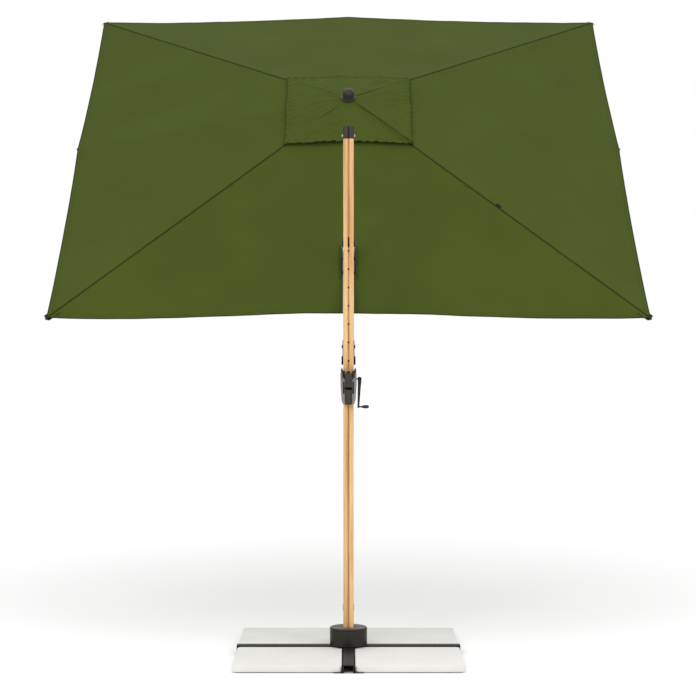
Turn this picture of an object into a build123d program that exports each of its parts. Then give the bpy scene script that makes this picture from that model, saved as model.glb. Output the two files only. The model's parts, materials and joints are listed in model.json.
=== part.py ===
from build123d import *
import math
import os

# Cantilever patio umbrella: a two-lobed mast stands on a steel cross weighted by four slabs, and a boom on a sliding
# carriage behind the mast carries a square tilted canopy.
# Frame: X to the right, Y away from the mast's front towards the canopy, Z up, origin on the floor under the mast.
# Lengths are millimetres, angles are degrees.

os.makedirs("parts", exist_ok=True)

RUNNING_GAP = 0.05  # radial clearance of a pin in its hole
SLIDING_GAP = 0.4  # clearance of a sliding sleeve

# Cross base and slabs
BAR_HALF_LENGTH = 535.0
HAT_WIDTH = 50.0
HAT_HEIGHT = 38.0
HAT_SHEET = 4.0
FLANGE_WIDTH = 138.0
SLAB_SIZE = 500.0
SLAB_THICK = 28.0
SLAB_INNER_EDGE = 30.0
SLAB_CORNER_R = 22.0
BOLT_RING_R = 45.0
BOLT_R = 4.0
BOLT_HEAD_R = 7.0
CENTRE_PLATE_SIZE = 116.0
CENTRE_PLATE_THICK = 6.0
SPIGOT_R = 20.0
SPIGOT_WALL = 4.0
SPIGOT_TOP = 200.0
THRUST_COLLAR_R = 30.0

# Mast
MAST_WIDTH = 50.0
MAST_DEPTH = 72.0
MAST_WALL = 2.2
MAST_BOTTOM = 58.0
MAST_TOP = 2456.0
GROOVE_FLOOR = 27.5  # distance of the groove's floor from the mast's middle
GROOVE_FILL = 10.0
HOLE_R = 4.5
HOLE_PITCH = 87.2
HOLE_COUNT = 9
PIN_HOLE_Z = 1226.0  # the hole that the latch stands at
SLOT_Z = 1965.0
SLOT_HEIGHT = 49.0
CAP_TOP = 2516.0
CAP_OVERHANG = 1.3
COVER_R = 89.0
COVER_BOTTOM = 40.0
COVER_TOP = 125.0
COVER_WALL = 4.0

# Strut pivot on the mast cap, strut pivot on the boom, boom hinge on the carriage
STRUT_TOP = (62.0, 2476.0)
STRUT_FOOT = (600.0, 1902.0)
BOOM_ROOT = (80.0, 1398.0)

# Canopy head
APEX = (1373.0, 2781.0)
TILT = 36.6
BOOM_DROP = 210.0  # boom end below the apex, along the canopy's axis
CANOPY_HALF = 1500.0
CORNER_DROP = 357.0
MIDDLE_DROP = 318.0
NEAR_HEM_RISE = 26.5  # how far the rib-less near hem draws in at its middle
VENT_HOLE_HALF = 230.0
VENT_CAP_HALF = 345.0
VENT_CAP_APEX = 6.0
VENT_CAP_MIDDLE = -62.0
VENT_CAP_CORNER = -74.0
CLOTH_THICK = 1.2
SEAM_GAP = 1.0
SLOT_NEAR = 1045.0  # the boom's slot in the near panel, measured from the apex
SLOT_FAR = 1245.0
SLOT_HALF = 40.0
SLIT_HALF = 27.0

# Ribs, stays and runner
CORNER_AZIMUTHS = {"near_right": -45.0, "far_right": 45.0, "far_left": 135.0, "near_left": -135.0}
MIDDLE_AZIMUTHS = {"right": 0.0, "far": 90.0, "left": 180.0}
HUB_PIVOT_R = 55.0
HUB_PIVOT_Z = -22.0
RIB_WIDTH = 12.0
RIB_HEIGHT = 18.0
RIB_WALL = 1.2
RIB_TIP = 70.0
RIB_FOLDED = 86.0
PIVOT_PIN_R = 3.0
RUNNER_PIVOT_R = 45.0
RUNNER_OPEN = 330.0
RUNNER_TRAVEL = 1300.0
RUNNER_CORE_R = 28.0
STAY_BAR = 3.0
STAY_HEIGHT = 14.0
STAY_GAP = 6.5  # from the rib's middle plane to the inner face of a stay's bar

# Boom and strut sections
BOOM_WIDTH = 46.0
BOOM_HEIGHT = 50.0
BOOM_WALL = 2.5
STRUT_WIDTH = 30.0
STRUT_HEIGHT = 22.0
STRUT_BOLT_R = 5.0
ROOT_PIN_R = 6.0

# Carriage on the mast
SLEEVE_WALL = 3.0
SHELL_FRONT = -80.0
SHELL_BACK = 44.0
SHELL_OUTLINE = [(14, 1338), (26, 1346), (28, 1362), (36, 1362), (38.5, 1335), (38.5, 1290), (34, 1215),
                 (28, 1198), (14, 1190)]
CHANNEL_HALF = 18.0
CRANK_Z = 1315.0
DRUM_Y = -60.0
DRUM_R = 15.0
SHAFT_R = 5.0
CRANK_X = 52.0
CRANK_HUB_R = 10.5
CRANK_DROP = 132.0
KNOB_R = 8.5
KNOB_END = 97.0
LATCH_PIVOT = (-70.0, 1200.0)
LATCH_PIN_R = 4.0
LATCH_NOSE_Y = 35.0  # the pin's round nose stands in the mouth of the groove, this far from the mast's middle


def block(x0, x1, y0, y1, z0, z1):
    """A box given by its limits."""
    return Pos((x0 + x1) / 2, (y0 + y1) / 2, (z0 + z1) / 2) * Box(x1 - x0, y1 - y0, z1 - z0)


def rod_x(radius, x0, x1, y=0.0, z=0.0):
    """A round bar along X."""
    return Pos((x0 + x1) / 2, y, z) * Rot(0, 90, 0) * Cylinder(radius, x1 - x0)


def rod_y(radius, y0, y1, x=0.0, z=0.0):
    """A round bar along Y."""
    return Pos(x, (y0 + y1) / 2, z) * Rot(90, 0, 0) * Cylinder(radius, y1 - y0)


def rod_z(radius, z0, z1, x=0.0, y=0.0):
    """A round bar along Z."""
    return Pos(x, y, (z0 + z1) / 2) * Cylinder(radius, z1 - z0)


def prism_y(outline, y0, y1):
    """A solid with the given X-Z outline, between two places along Y."""
    return Pos(0, y0, 0) * extrude(Plane.XZ * outline, amount=y1 - y0, dir=(0, 1, 0))


def both_sides(shape):
    """The shape and its mirror image across the umbrella's middle plane."""
    return shape + mirror(shape, Plane.YZ)


def save(name, *pieces):
    """Write one sub-part, with its separate solids, to its STEP file."""
    solids = [solid for piece in pieces for solid in piece.solids()]
    export_step(Compound(solids), f"parts/{name}.step")


def mast_section(grow=0.0):
    """Outline of the mast: two round lobes front and back with a shallow groove between them."""
    lobe_r = MAST_WIDTH / 4
    lobe_y = MAST_DEPTH / 2 - lobe_r
    outline = Rectangle(MAST_WIDTH + 2 * grow, 2 * lobe_y)
    for x in (-lobe_r, lobe_r):
        for y in (-lobe_y, lobe_y):
            outline += Pos(x, y) * Circle(lobe_r + grow)
    return outline + Rectangle(GROOVE_FILL, 2 * (GROOVE_FLOOR + grow))


def mast_prism(grow, z0, z1):
    """The mast's outline, grown all round, as a solid between two heights."""
    return Pos(0, 0, z0) * extrude(mast_section(grow), amount=z1 - z0)


def angle_from(start, end):
    """Slope of the line between two points of the middle plane, in degrees above +Y."""
    return math.degrees(math.atan2(end[1] - start[1], end[0] - start[0]))


def placed(point, slope):
    """A frame in the middle plane: local Y along the slope, local X across."""
    return Pos(0, point[0], point[1]) * Rot(slope, 0, 0)


STRUT_LENGTH = math.dist(STRUT_TOP, STRUT_FOOT)
STRUT_FRAME = placed(STRUT_TOP, angle_from(STRUT_TOP, STRUT_FOOT))
HEAD_FRAME = placed(APEX, TILT)
BOOM_END = (
    APEX[0] + BOOM_DROP * math.sin(math.radians(TILT)),
    APEX[1] - BOOM_DROP * math.cos(math.radians(TILT)),
)
BOOM_LENGTH = math.dist(BOOM_ROOT, BOOM_END)
BOOM_SLOPE = angle_from(BOOM_ROOT, BOOM_END)
BOOM_FRAME = placed(BOOM_ROOT, BOOM_SLOPE)
FOOT_TURN = math.radians(angle_from(BOOM_ROOT, STRUT_FOOT) - BOOM_SLOPE)
FOOT_ALONG = math.dist(BOOM_ROOT, STRUT_FOOT) * math.cos(FOOT_TURN)
FOOT_ABOVE = math.dist(BOOM_ROOT, STRUT_FOOT) * math.sin(FOOT_TURN)


# ---------------------------------------------------------------- cross base

def hat_outline():
    """Top-hat section of a cross bar: a raised channel with a flange along each foot."""
    half, web, foot = HAT_WIDTH / 2, HAT_WIDTH / 2 - HAT_SHEET, FLANGE_WIDTH / 2
    right = [(foot, 0), (foot, HAT_SHEET), (half, HAT_SHEET), (half, HAT_HEIGHT)]
    inside = [(-web, 0), (-web, HAT_HEIGHT - HAT_SHEET), (web, HAT_HEIGHT - HAT_SHEET), (web, 0)]
    left = [(-x, z) for x, z in reversed(right)]
    return right + left + inside


def cross_bars():
    outline = Polygon(*hat_outline(), align=None)
    long_bar = prism_y(outline, -BAR_HALF_LENGTH, BAR_HALF_LENGTH)
    side_bar = Rot(0, 0, -90) * prism_y(outline, 0, BAR_HALF_LENGTH)
    side_bar -= block(-1, HAT_WIDTH / 2 + 0.5, -100, 100, -1, HAT_HEIGHT + 1)
    side_bar -= block(-1, FLANGE_WIDTH / 2 + 0.5, -100, 100, -1, HAT_SHEET + 0.3)
    holes = bolt_shanks(0.5)
    save("cross_bar_long", long_bar - holes)
    save("cross_bars_side", side_bar - holes, mirror(side_bar, Plane.YZ) - holes)


def bolt_places():
    return [(BOLT_RING_R, 0), (0, BOLT_RING_R), (-BOLT_RING_R, 0), (0, -BOLT_RING_R)]


def bolt_shanks(grow=0.0):
    """The four base bolts' shanks."""
    bottom = HAT_HEIGHT - 22
    top = HAT_HEIGHT + CENTRE_PLATE_THICK
    shanks = [rod_z(BOLT_R + grow, bottom, top, x, y) for x, y in bolt_places()]
    return shanks[0] + shanks[1:]


def base_centre():
    inner = HAT_WIDTH / 2 - HAT_SHEET - 0.5
    centre_block = block(-inner, inner, -60, 60, 0, HAT_HEIGHT - HAT_SHEET)
    save("centre_block", centre_block - bolt_shanks(0.5))
    half = CENTRE_PLATE_SIZE / 2
    plate_top = HAT_HEIGHT + CENTRE_PLATE_THICK
    plate = block(-half, half, -half, half, HAT_HEIGHT, plate_top) - bolt_shanks(0.5)
    save("centre_plate", plate)
    spigot = rod_z(SPIGOT_R, plate_top, SPIGOT_TOP) + rod_z(THRUST_COLLAR_R, plate_top, MAST_BOTTOM - 6)
    save("swivel_spigot", spigot - rod_z(SPIGOT_R - SPIGOT_WALL, plate_top, SPIGOT_TOP))
    bolts = []
    for x, y in bolt_places():
        head = rod_z(BOLT_HEAD_R, plate_top, plate_top + 5, x, y)
        bolts.append(rod_z(BOLT_R, HAT_HEIGHT - 20, plate_top, x, y) + head)
    save("base_bolts", *bolts)


def slabs():
    centre = SLAB_INNER_EDGE + SLAB_SIZE / 2
    sheet = Pos(centre, centre, HAT_SHEET + 0.3) * extrude(RectangleRounded(SLAB_SIZE, SLAB_SIZE, SLAB_CORNER_R),
                                                          amount=SLAB_THICK)
    slab = chamfer(sheet.faces().sort_by(Axis.Z)[-1].edges(), 3)
    left = mirror(slab, Plane.YZ)
    save("paving_slabs", slab, left, mirror(slab, Plane.XZ), mirror(left, Plane.XZ))


# ---------------------------------------------------------------- mast and foot

def mast():
    tube = mast_prism(0, MAST_BOTTOM, MAST_TOP) - mast_prism(-MAST_WALL, MAST_BOTTOM, MAST_TOP)
    for step in range(HOLE_COUNT):
        tube -= rod_y(HOLE_R, -MAST_DEPTH / 2, -GROOVE_FLOOR / 2, z=PIN_HOLE_Z + step * HOLE_PITCH)
    slot_end = SLOT_HEIGHT / 2 - HOLE_R
    slot = block(-HOLE_R, HOLE_R, -40, -20, SLOT_Z - slot_end, SLOT_Z + slot_end)
    slot += rod_y(HOLE_R, -40, -20, z=SLOT_Z - slot_end) + rod_y(HOLE_R, -40, -20, z=SLOT_Z + slot_end)
    save("mast_tube", tube - slot)


def mast_foot():
    flange_bottom = MAST_BOTTOM - 6 + 0.3
    socket = rod_z(62, flange_bottom, MAST_BOTTOM) + mast_prism(4.2, MAST_BOTTOM, 116)
    socket -= mast_prism(0.2, MAST_BOTTOM, 117)
    save("mast_foot", socket - rod_z(SPIGOT_R + 1, 0, 120))
    bush = mast_prism(-MAST_WALL - 0.2, MAST_BOTTOM, 190) - rod_z(SPIGOT_R + RUNNING_GAP, 0, 210)
    save("swivel_bush", bush)


def base_cover():
    drum = rod_z(COVER_R, COVER_BOTTOM, COVER_TOP)
    drum = fillet(drum.faces().sort_by(Axis.Z)[-1].edges(), 6)
    drum -= rod_z(COVER_R - COVER_WALL, COVER_BOTTOM, COVER_TOP - COVER_WALL)
    save("base_cover", drum - mast_prism(0.5, COVER_BOTTOM, COVER_TOP + 1))


def mast_cap():
    cap = mast_prism(CAP_OVERHANG, MAST_TOP, CAP_TOP)
    cap = chamfer(cap.faces().sort_by(Axis.Z)[-1].edges(), 1.0)
    cap += mast_prism(-MAST_WALL - 0.2, MAST_TOP - 40, MAST_TOP)
    cheek_y, cheek_z = STRUT_TOP
    cheek = block(17, 26, 30, cheek_y, cheek_z - 18, cheek_z + 18) + rod_x(18, 17, 26, cheek_y, cheek_z)
    cap += both_sides(cheek)
    cap -= block(-17, 17, MAST_DEPTH / 2 + 3, cheek_y + 30, MAST_TOP - 1, CAP_TOP + 1)
    save("mast_cap", cap - rod_x(STRUT_BOLT_R + RUNNING_GAP, -40, 40, cheek_y, cheek_z))
    head = rod_x(7, 26, 33, cheek_y, cheek_z)
    head = fillet(head.faces().sort_by(Axis.X)[-1].edges(), 4)
    save("strut_bolt", rod_x(STRUT_BOLT_R, -26, 26, cheek_y, cheek_z) + both_sides(head))


def foot_lock():
    lug = both_sides(block(14, 20, 36, 72, 172, 198))
    plate = block(-20, 20, 36, 42, 150, 215)
    pin = rod_x(PIVOT_PIN_R, -20, 20, 62, 185)
    save("pedal_bracket", plate + lug + pin)
    pedal = block(-13.5, 13.5, 50, 90, 179, 191) + block(-27, 27, 80, 132, 181, 191)
    pedal -= block(-14, 14, 40, 54, 170, 200)
    pedal = pedal - rod_x(PIVOT_PIN_R + RUNNING_GAP, -30, 30, 62, 185)
    lift = Pos(0, 62, 185) * Rot(20, 0, 0) * Pos(0, -62, -185)
    save("foot_pedal", lift * pedal)


# ---------------------------------------------------------------- carriage, latch and crank

def carriage():
    inner_half = MAST_WIDTH / 2 + SLIDING_GAP + SLEEVE_WALL
    sleeve = block(-inner_half, inner_half, -41.4, 41.4, 1245, 1350)
    sleeve += block(-17.5, 17.5, -41.4, -37.4, 1205, 1245)
    sleeve -= mast_prism(SLIDING_GAP, 1190, 1400)
    sleeve -= rod_y(LATCH_PIN_R + 0.1, -50, -20, z=PIN_HOLE_Z)
    save("slider_sleeve", sleeve)

    right = prism_y(Polygon(*SHELL_OUTLINE, align=None), SHELL_FRONT, SHELL_BACK)
    right -= block(0, inner_half + 0.2, -41.7, 60, 1180, 1370)
    right -= block(0, CHANNEL_HALF + 0.2, -90, -41, 1180, 1370)
    left = mirror(right, Plane.YZ)
    bearing = rod_x(SHAFT_R + RUNNING_GAP, -50, 50, DRUM_Y, CRANK_Z)
    pivots = rod_x(PIVOT_PIN_R, -20.5, 20.5, LATCH_PIVOT[0], LATCH_PIVOT[1])
    save("housing_right", right - bearing - pivots)
    save("housing_left", left - bearing - pivots)

    panel = block(-CHANNEL_HALF, CHANNEL_HALF, SHELL_FRONT, SHELL_FRONT + 3, 1276, 1340)
    panel += block(-CHANNEL_HALF, CHANNEL_HALF, SHELL_FRONT + 3, -42, 1336, 1340)
    save("housing_panel", panel)

    knuckle = rod_x(18, -22.5, 22.5, BOOM_ROOT[0], BOOM_ROOT[1])
    hinge = block(-22.5, 22.5, 41.6, 52, 1262, 1416) + block(-22.5, 22.5, 50, BOOM_ROOT[0], 1380, 1416) + knuckle
    save("hinge_block", hinge - rod_x(ROOT_PIN_R + RUNNING_GAP, -30, 30, BOOM_ROOT[0], BOOM_ROOT[1]))
    screws = []
    for x in (-14, 14):
        for z in (1280, 1330):
            screws.append(rod_y(5, 52, 55, x, z))
    save("carriage_fasteners", pivots, *screws)


def latch():
    pivot_y, pivot_z = LATCH_PIVOT
    lever = block(-16.5, 16.5, SHELL_FRONT, -73, pivot_z, 1264) + rod_x(7, -16.5, 16.5, pivot_y, pivot_z)
    save("latch_lever", lever - rod_x(PIVOT_PIN_R + RUNNING_GAP, -20, 20, pivot_y, pivot_z))
    nose_y = -LATCH_NOSE_Y
    pin = rod_y(LATCH_PIN_R, -68, nose_y, z=PIN_HOLE_Z) + Pos(0, nose_y, PIN_HOLE_Z) * Sphere(LATCH_PIN_R)
    save("latch_pin", pin + rod_y(LATCH_PIN_R + 3, -68, -64, z=PIN_HOLE_Z))


def crank():
    drum = rod_x(DRUM_R, -16, 16, DRUM_Y, CRANK_Z) - rod_x(DRUM_R + 5, -13, 13, DRUM_Y, CRANK_Z)
    drum += rod_x(DRUM_R - 5, -16, 16, DRUM_Y, CRANK_Z) + rod_x(SHAFT_R, -36, CRANK_X - 4, DRUM_Y, CRANK_Z)
    save("winding_drum", drum)
    foot_x, foot_z = 46.5, CRANK_Z - CRANK_DROP
    side = Polygon((CRANK_X - 8, CRANK_Z), (CRANK_X + 9, CRANK_Z), (foot_x + 5, foot_z), (foot_x - 4, foot_z),
                   align=None)
    arm = prism_y(side, DRUM_Y - 7, DRUM_Y + 7)
    arm += rod_y(CRANK_HUB_R, DRUM_Y - 9, DRUM_Y + 9, CRANK_X, CRANK_Z)
    arm += rod_x(6, foot_x - 4, foot_x + 5, DRUM_Y, foot_z)
    arm += rod_x(PIVOT_PIN_R, foot_x, KNOB_END - 5, DRUM_Y, foot_z)
    save("crank_arm", arm - rod_x(SHAFT_R, 30, CRANK_X - 4, DRUM_Y, CRANK_Z))
    save("crank_cap", rod_y(7, DRUM_Y - 12, DRUM_Y - 9, CRANK_X, CRANK_Z))
    bulb = rod_x(KNOB_R, 64, KNOB_END, DRUM_Y, foot_z)
    bulb = fillet(bulb.edges().filter_by(GeomType.CIRCLE), 5)
    grip = bulb + rod_x(5, foot_x + 5.5, 70, DRUM_Y, foot_z)
    save("crank_knob", grip - rod_x(PIVOT_PIN_R + RUNNING_GAP, 40, KNOB_END - 4.5, DRUM_Y, foot_z))


# ---------------------------------------------------------------- boom and strut

def bar_y(width, height, y0, y1, corner=4.0):
    """A bar along local Y with rounded long edges."""
    return prism_y(RectangleRounded(width, height, corner), y0, y1)


def strut():
    tube_end = STRUT_LENGTH - 126
    tube = bar_y(STRUT_WIDTH, STRUT_HEIGHT, 0, tube_end) + rod_x(STRUT_HEIGHT / 2, -15, 15)
    tube -= bar_y(STRUT_WIDTH - 4, STRUT_HEIGHT - 4, 40, tube_end + 1, 2.0)
    tube -= rod_x(STRUT_BOLT_R + RUNNING_GAP, -30, 30)
    save("strut_tube", STRUT_FRAME * tube)
    cheek = block(28.5, 32.5, tube_end + 20, STRUT_LENGTH, -20, 20) + rod_x(20, 28.5, 32.5, STRUT_LENGTH)
    cheek += rod_x(12, 32.5, 35.5, STRUT_LENGTH)
    fork = both_sides(cheek) + block(-32.5, 32.5, tube_end, tube_end + 30, -14, 14)
    fork += block(-12, 12, tube_end - 50, tube_end, -8, 8)
    save("strut_fork", STRUT_FRAME * fork)


def boom():
    tube = bar_y(BOOM_WIDTH, BOOM_HEIGHT, 45, BOOM_LENGTH - 33, 12.0)
    tube -= bar_y(BOOM_WIDTH - 2 * BOOM_WALL, BOOM_HEIGHT - 2 * BOOM_WALL, 40, BOOM_LENGTH, 9.5)
    save("boom_tube", BOOM_FRAME * tube)
    cheek = block(23.2, 29, 0, 125, -21, 21) + rod_x(21, 23.2, 29) + rod_x(21.5, 29, 34)
    cheek += rod_x(9, 29, 33, 100)
    save("boom_root", BOOM_FRAME * (both_sides(cheek) + rod_x(ROOT_PIN_R, -25, 25)))
    start, end = FOOT_ALONG - 75, FOOT_ALONG + 75
    saddle = block(-28, 28, start, end, -25, 30) - block(-23.3, 23.3, start - 1, end + 1, -26, 25.2)
    ears = block(23.3, 28, FOOT_ALONG - 20, FOOT_ALONG + 20, 0, FOOT_ABOVE)
    ears += rod_x(20, 23.3, 28, FOOT_ALONG, FOOT_ABOVE)
    bolts = rod_x(7, 28, 31, FOOT_ALONG - 55, -8) + rod_x(7, 28, 31, FOOT_ALONG + 60, -8)
    save("strut_saddle", BOOM_FRAME * (saddle + both_sides(ears + bolts)))


def head_bracket():
    socket = block(-28.5, 28.5, BOOM_LENGTH - 90, BOOM_LENGTH - 10, -30, 30)
    socket -= block(-23.2, 23.2, BOOM_LENGTH - 91, BOOM_LENGTH - 32.5, -25.2, 25.2)
    collar = HEAD_FRAME * rod_z(30, -256, -150)
    bracket = BOOM_FRAME * socket + collar
    bracket -= HEAD_FRAME * rod_z(16.1, -200, -149)
    bracket -= HEAD_FRAME * block(-5.5, 5.5, -31, 31, -257, -226)
    save("head_bracket", bracket + HEAD_FRAME * rod_x(PIVOT_PIN_R, -20, 20, 0, -242))
    wheel = rod_x(14, -4.5, 4.5, 0, -242) - rod_x(PIVOT_PIN_R + RUNNING_GAP, -6, 6, 0, -242)
    groove = rod_x(20, -2.5, 2.5, 0, -242) - rod_x(11, -3, 3, 0, -242)
    save("cord_pulley", HEAD_FRAME * (wheel - groove))


def upper_hub():
    disc = rod_z(68, HUB_PIVOT_Z - 13, HUB_PIVOT_Z + 10.5)
    pins = []
    for azimuth in rib_azimuths().values():
        spoke = Rot(0, 0, azimuth)
        disc -= spoke * block(43, 75, -6.5, 6.5, HUB_PIVOT_Z - 14, HUB_PIVOT_Z + 14)
        pins.append(spoke * rod_y(PIVOT_PIN_R, -8, 8, HUB_PIVOT_R, HUB_PIVOT_Z))
    hub = disc + pins + rod_z(16, -196, HUB_PIVOT_Z) + rod_z(8, HUB_PIVOT_Z, VENT_CAP_APEX + 3)
    save("upper_hub", HEAD_FRAME * hub)


def finial():
    seat = VENT_CAP_APEX + CLOTH_THICK + 0.3
    base = chamfer(rod_z(39, seat, seat + 8).faces().sort_by(Axis.Z)[-1].edges(), 3)
    base -= rod_z(8.1, seat - 1, VENT_CAP_APEX + 3.2)
    save("finial_base", HEAD_FRAME * base)
    dome = fillet(rod_z(30, seat + 8, seat + 58).faces().sort_by(Axis.Z)[-1].edges(), 28)
    save("finial_dome", HEAD_FRAME * dome)


# ---------------------------------------------------------------- ribs, stays and runner

def rib_azimuths():
    return {**CORNER_AZIMUTHS, **MIDDLE_AZIMUTHS}


def rib_slope(name):
    """How steeply the open rib falls away from the hub, in degrees."""
    if name in CORNER_AZIMUTHS:
        return math.degrees(math.atan2(CORNER_DROP, CANOPY_HALF * math.sqrt(2)))
    return math.degrees(math.atan2(MIDDLE_DROP, CANOPY_HALF))


def rib_length(name):
    reach = CANOPY_HALF * math.sqrt(2) if name in CORNER_AZIMUTHS else CANOPY_HALF
    return (reach - HUB_PIVOT_R) / math.cos(math.radians(rib_slope(name)))


def stay_place(name):
    """Where the stay meets the rib, measured along it, so that open and folded ribs both meet the runner."""
    open_slope, folded_slope = math.radians(rib_slope(name)), math.radians(RIB_FOLDED)
    step_in = HUB_PIVOT_R - RUNNER_PIVOT_R
    open_drop = RUNNER_OPEN + HUB_PIVOT_Z
    folded_drop = open_drop + RUNNER_TRAVEL
    lean = step_in * (math.cos(open_slope) - math.cos(folded_slope))
    return (folded_drop**2 - open_drop**2) / (
        2 * (lean - open_drop * math.sin(open_slope) + folded_drop * math.sin(folded_slope))
    )


def stay_line(name):
    """Length of the open stay, and its slope measured from outwards towards down."""
    along, slope = stay_place(name), math.radians(rib_slope(name))
    inwards = HUB_PIVOT_R + along * math.cos(slope) - RUNNER_PIVOT_R
    down = RUNNER_OPEN + HUB_PIVOT_Z - along * math.sin(slope)
    return math.hypot(inwards, down), math.degrees(math.atan2(down, -inwards))


def rib_frame(name):
    """Local X along the open rib from its hub pivot, local Y across it."""
    spoke = HEAD_FRAME * Rot(0, 0, rib_azimuths()[name]) * Pos(HUB_PIVOT_R, 0, HUB_PIVOT_Z)
    return spoke * Rot(0, rib_slope(name), 0)


def rib(name):
    half_w, half_h, length = RIB_WIDTH / 2, RIB_HEIGHT / 2, rib_length(name)
    tube = block(0, length - RIB_TIP, -half_w, half_w, -half_h, half_h) + rod_y(half_h, -half_w, half_w)
    tube -= block(40, length, RIB_WALL - half_w, half_w - RIB_WALL, RIB_WALL - half_h, half_h - RIB_WALL)
    tube -= rod_y(PIVOT_PIN_R + RUNNING_GAP, -half_w - 1, half_w + 1)
    tube += rod_y(PIVOT_PIN_R, -STAY_GAP - STAY_BAR - 1, STAY_GAP + STAY_BAR + 1, stay_place(name))
    start, base = length - RIB_TIP, half_h + 0.5
    side = Polygon((start, -base), (start, base), (length + 5, base), (length + 5, base - 4), (length - 8, base - 8),
                   align=None)
    tip = prism_y(side, -half_w - 0.5, half_w + 0.5)
    plug = block(length - RIB_TIP - 20, length - RIB_TIP, RIB_WALL + 0.2 - half_w, half_w - RIB_WALL - 0.2,
                 RIB_WALL + 0.2 - half_h, half_h - RIB_WALL - 0.2)
    save(f"rib_{name}", rib_frame(name) * tube, rib_frame(name) * (tip + plug))


def stay(name):
    length, slope = stay_line(name)
    half = STAY_HEIGHT / 2
    bar = block(0, length, STAY_GAP, STAY_GAP + STAY_BAR, -half, half)
    for end in (0, length):
        bar += rod_y(half, STAY_GAP, STAY_GAP + STAY_BAR, end)
        bar -= rod_y(PIVOT_PIN_R + RUNNING_GAP, STAY_GAP - 1, STAY_GAP + STAY_BAR + 1, end)
    frame = rib_frame(name) * Pos(stay_place(name), 0, 0) * Rot(0, slope - rib_slope(name), 0)
    save(f"stay_{name}", frame * bar, frame * mirror(bar, Plane.XZ))


def runner():
    body = rod_z(RUNNER_CORE_R, -RUNNER_OPEN - 25, -RUNNER_OPEN + 25)
    body = chamfer(body.edges().filter_by(GeomType.CIRCLE), 3)
    for azimuth in rib_azimuths().values():
        fin = block(RUNNER_CORE_R - 3, RUNNER_PIVOT_R + 7, -5, 5, -RUNNER_OPEN - 10, -RUNNER_OPEN + 10)
        body += Rot(0, 0, azimuth) * fin
    save("lower_hub", HEAD_FRAME * body)


# ---------------------------------------------------------------- canopy cloth

def canopy_z(x, y):
    """Height of the open cloth: a plane between each two ribs, and one plane over the whole near side."""
    reach, across = max(abs(x), abs(y)), min(abs(x), abs(y))
    if y < 0 and abs(y) >= abs(x):
        return -CORNER_DROP / CANOPY_HALF * reach
    return -(MIDDLE_DROP * reach + (CORNER_DROP - MIDDLE_DROP) * across) / CANOPY_HALF


def cap_z(x, y):
    """Height of the vent cap, which falls less steeply than the cloth below it."""
    reach, across = max(abs(x), abs(y)), min(abs(x), abs(y))
    fall, lean = VENT_CAP_MIDDLE - VENT_CAP_APEX, VENT_CAP_CORNER - VENT_CAP_MIDDLE
    return VENT_CAP_APEX + (fall * reach + lean * across) / VENT_CAP_HALF


def cloth(plan, height):
    """One flat facet of cloth over the plan outline."""
    corners = [Vector(x, y, height(x, y)) for x, y in plan]
    return extrude(Face(Wire.make_polygon(corners, close=True)), amount=CLOTH_THICK, dir=(0, 0, 1))


def seam_y(x):
    """Half-width of a middle gore at a distance from the apex, less the seam gap."""
    return x * math.tan(math.radians(22.5))


def turned(plan, azimuth):
    turn = math.radians(azimuth)
    return [(x * math.cos(turn) - y * math.sin(turn), x * math.sin(turn) + y * math.cos(turn)) for x, y in plan]


def middle_gore(name, azimuth):
    inner, outer = VENT_HOLE_HALF, CANOPY_HALF
    half = [(inner, 0), (outer, 0), (outer, seam_y(outer) - SEAM_GAP), (inner, seam_y(inner) - SEAM_GAP)]
    other = [(x, -y) for x, y in reversed(half)]
    gore = cloth(turned(half, azimuth), canopy_z) + cloth(turned(other, azimuth), canopy_z)
    save(f"gore_{name}", HEAD_FRAME * gore)


def corner_halves():
    """The two facets beside a corner rib, in the quarter where x and y are positive."""
    inner, outer = VENT_HOLE_HALF, CANOPY_HALF
    half = [(inner, seam_y(inner) + SEAM_GAP), (outer, seam_y(outer) + SEAM_GAP), (outer, outer), (inner, inner)]
    return half, [(y, x) for x, y in reversed(half)]


def far_gore(name, sign):
    first, second = corner_halves()
    facets = [[(sign * x, y) for x, y in plan] for plan in (first, second)]
    gore = cloth(facets[0], canopy_z) + cloth(facets[1], canopy_z)
    save(f"gore_{name}", HEAD_FRAME * gore)


def hem_y(x):
    """The near hem, drawn in towards its middle."""
    return -CANOPY_HALF + NEAR_HEM_RISE * (1 - (x / CANOPY_HALF) ** 2)


def near_gore(name, sign):
    inner, outer = VENT_HOLE_HALF, CANOPY_HALF
    side = [(sign * x, -y) for x, y in corner_halves()[0]]
    hem = [(x, hem_y(x)) for x in (outer, outer * 0.67, outer * 0.33, SLIT_HALF)]
    slot = [(SLIT_HALF, -SLOT_FAR), (SLOT_HALF, -SLOT_FAR), (SLOT_HALF, -SLOT_NEAR), (SEAM_GAP, -SLOT_NEAR)]
    front = [(inner, -inner)] + hem + slot + [(SEAM_GAP, -inner)]
    gore = cloth(side, canopy_z) + cloth([(sign * x, y) for x, y in front], canopy_z)
    save(f"gore_{name}", HEAD_FRAME * gore)


def vent_cap():
    half = VENT_CAP_HALF
    eighth = [(0, 0), (half, 0), (half, half)]
    facets = []
    for azimuth in (0, 90, 180, 270):
        facets.append(cloth(turned(eighth, azimuth), cap_z))
        facets.append(cloth(turned([(x, -y) for x, y in reversed(eighth)], azimuth), cap_z))
    cap = facets[0] + facets[1:]
    save("vent_cap", HEAD_FRAME * (cap - rod_z(8.5, -50, 50)))


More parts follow.
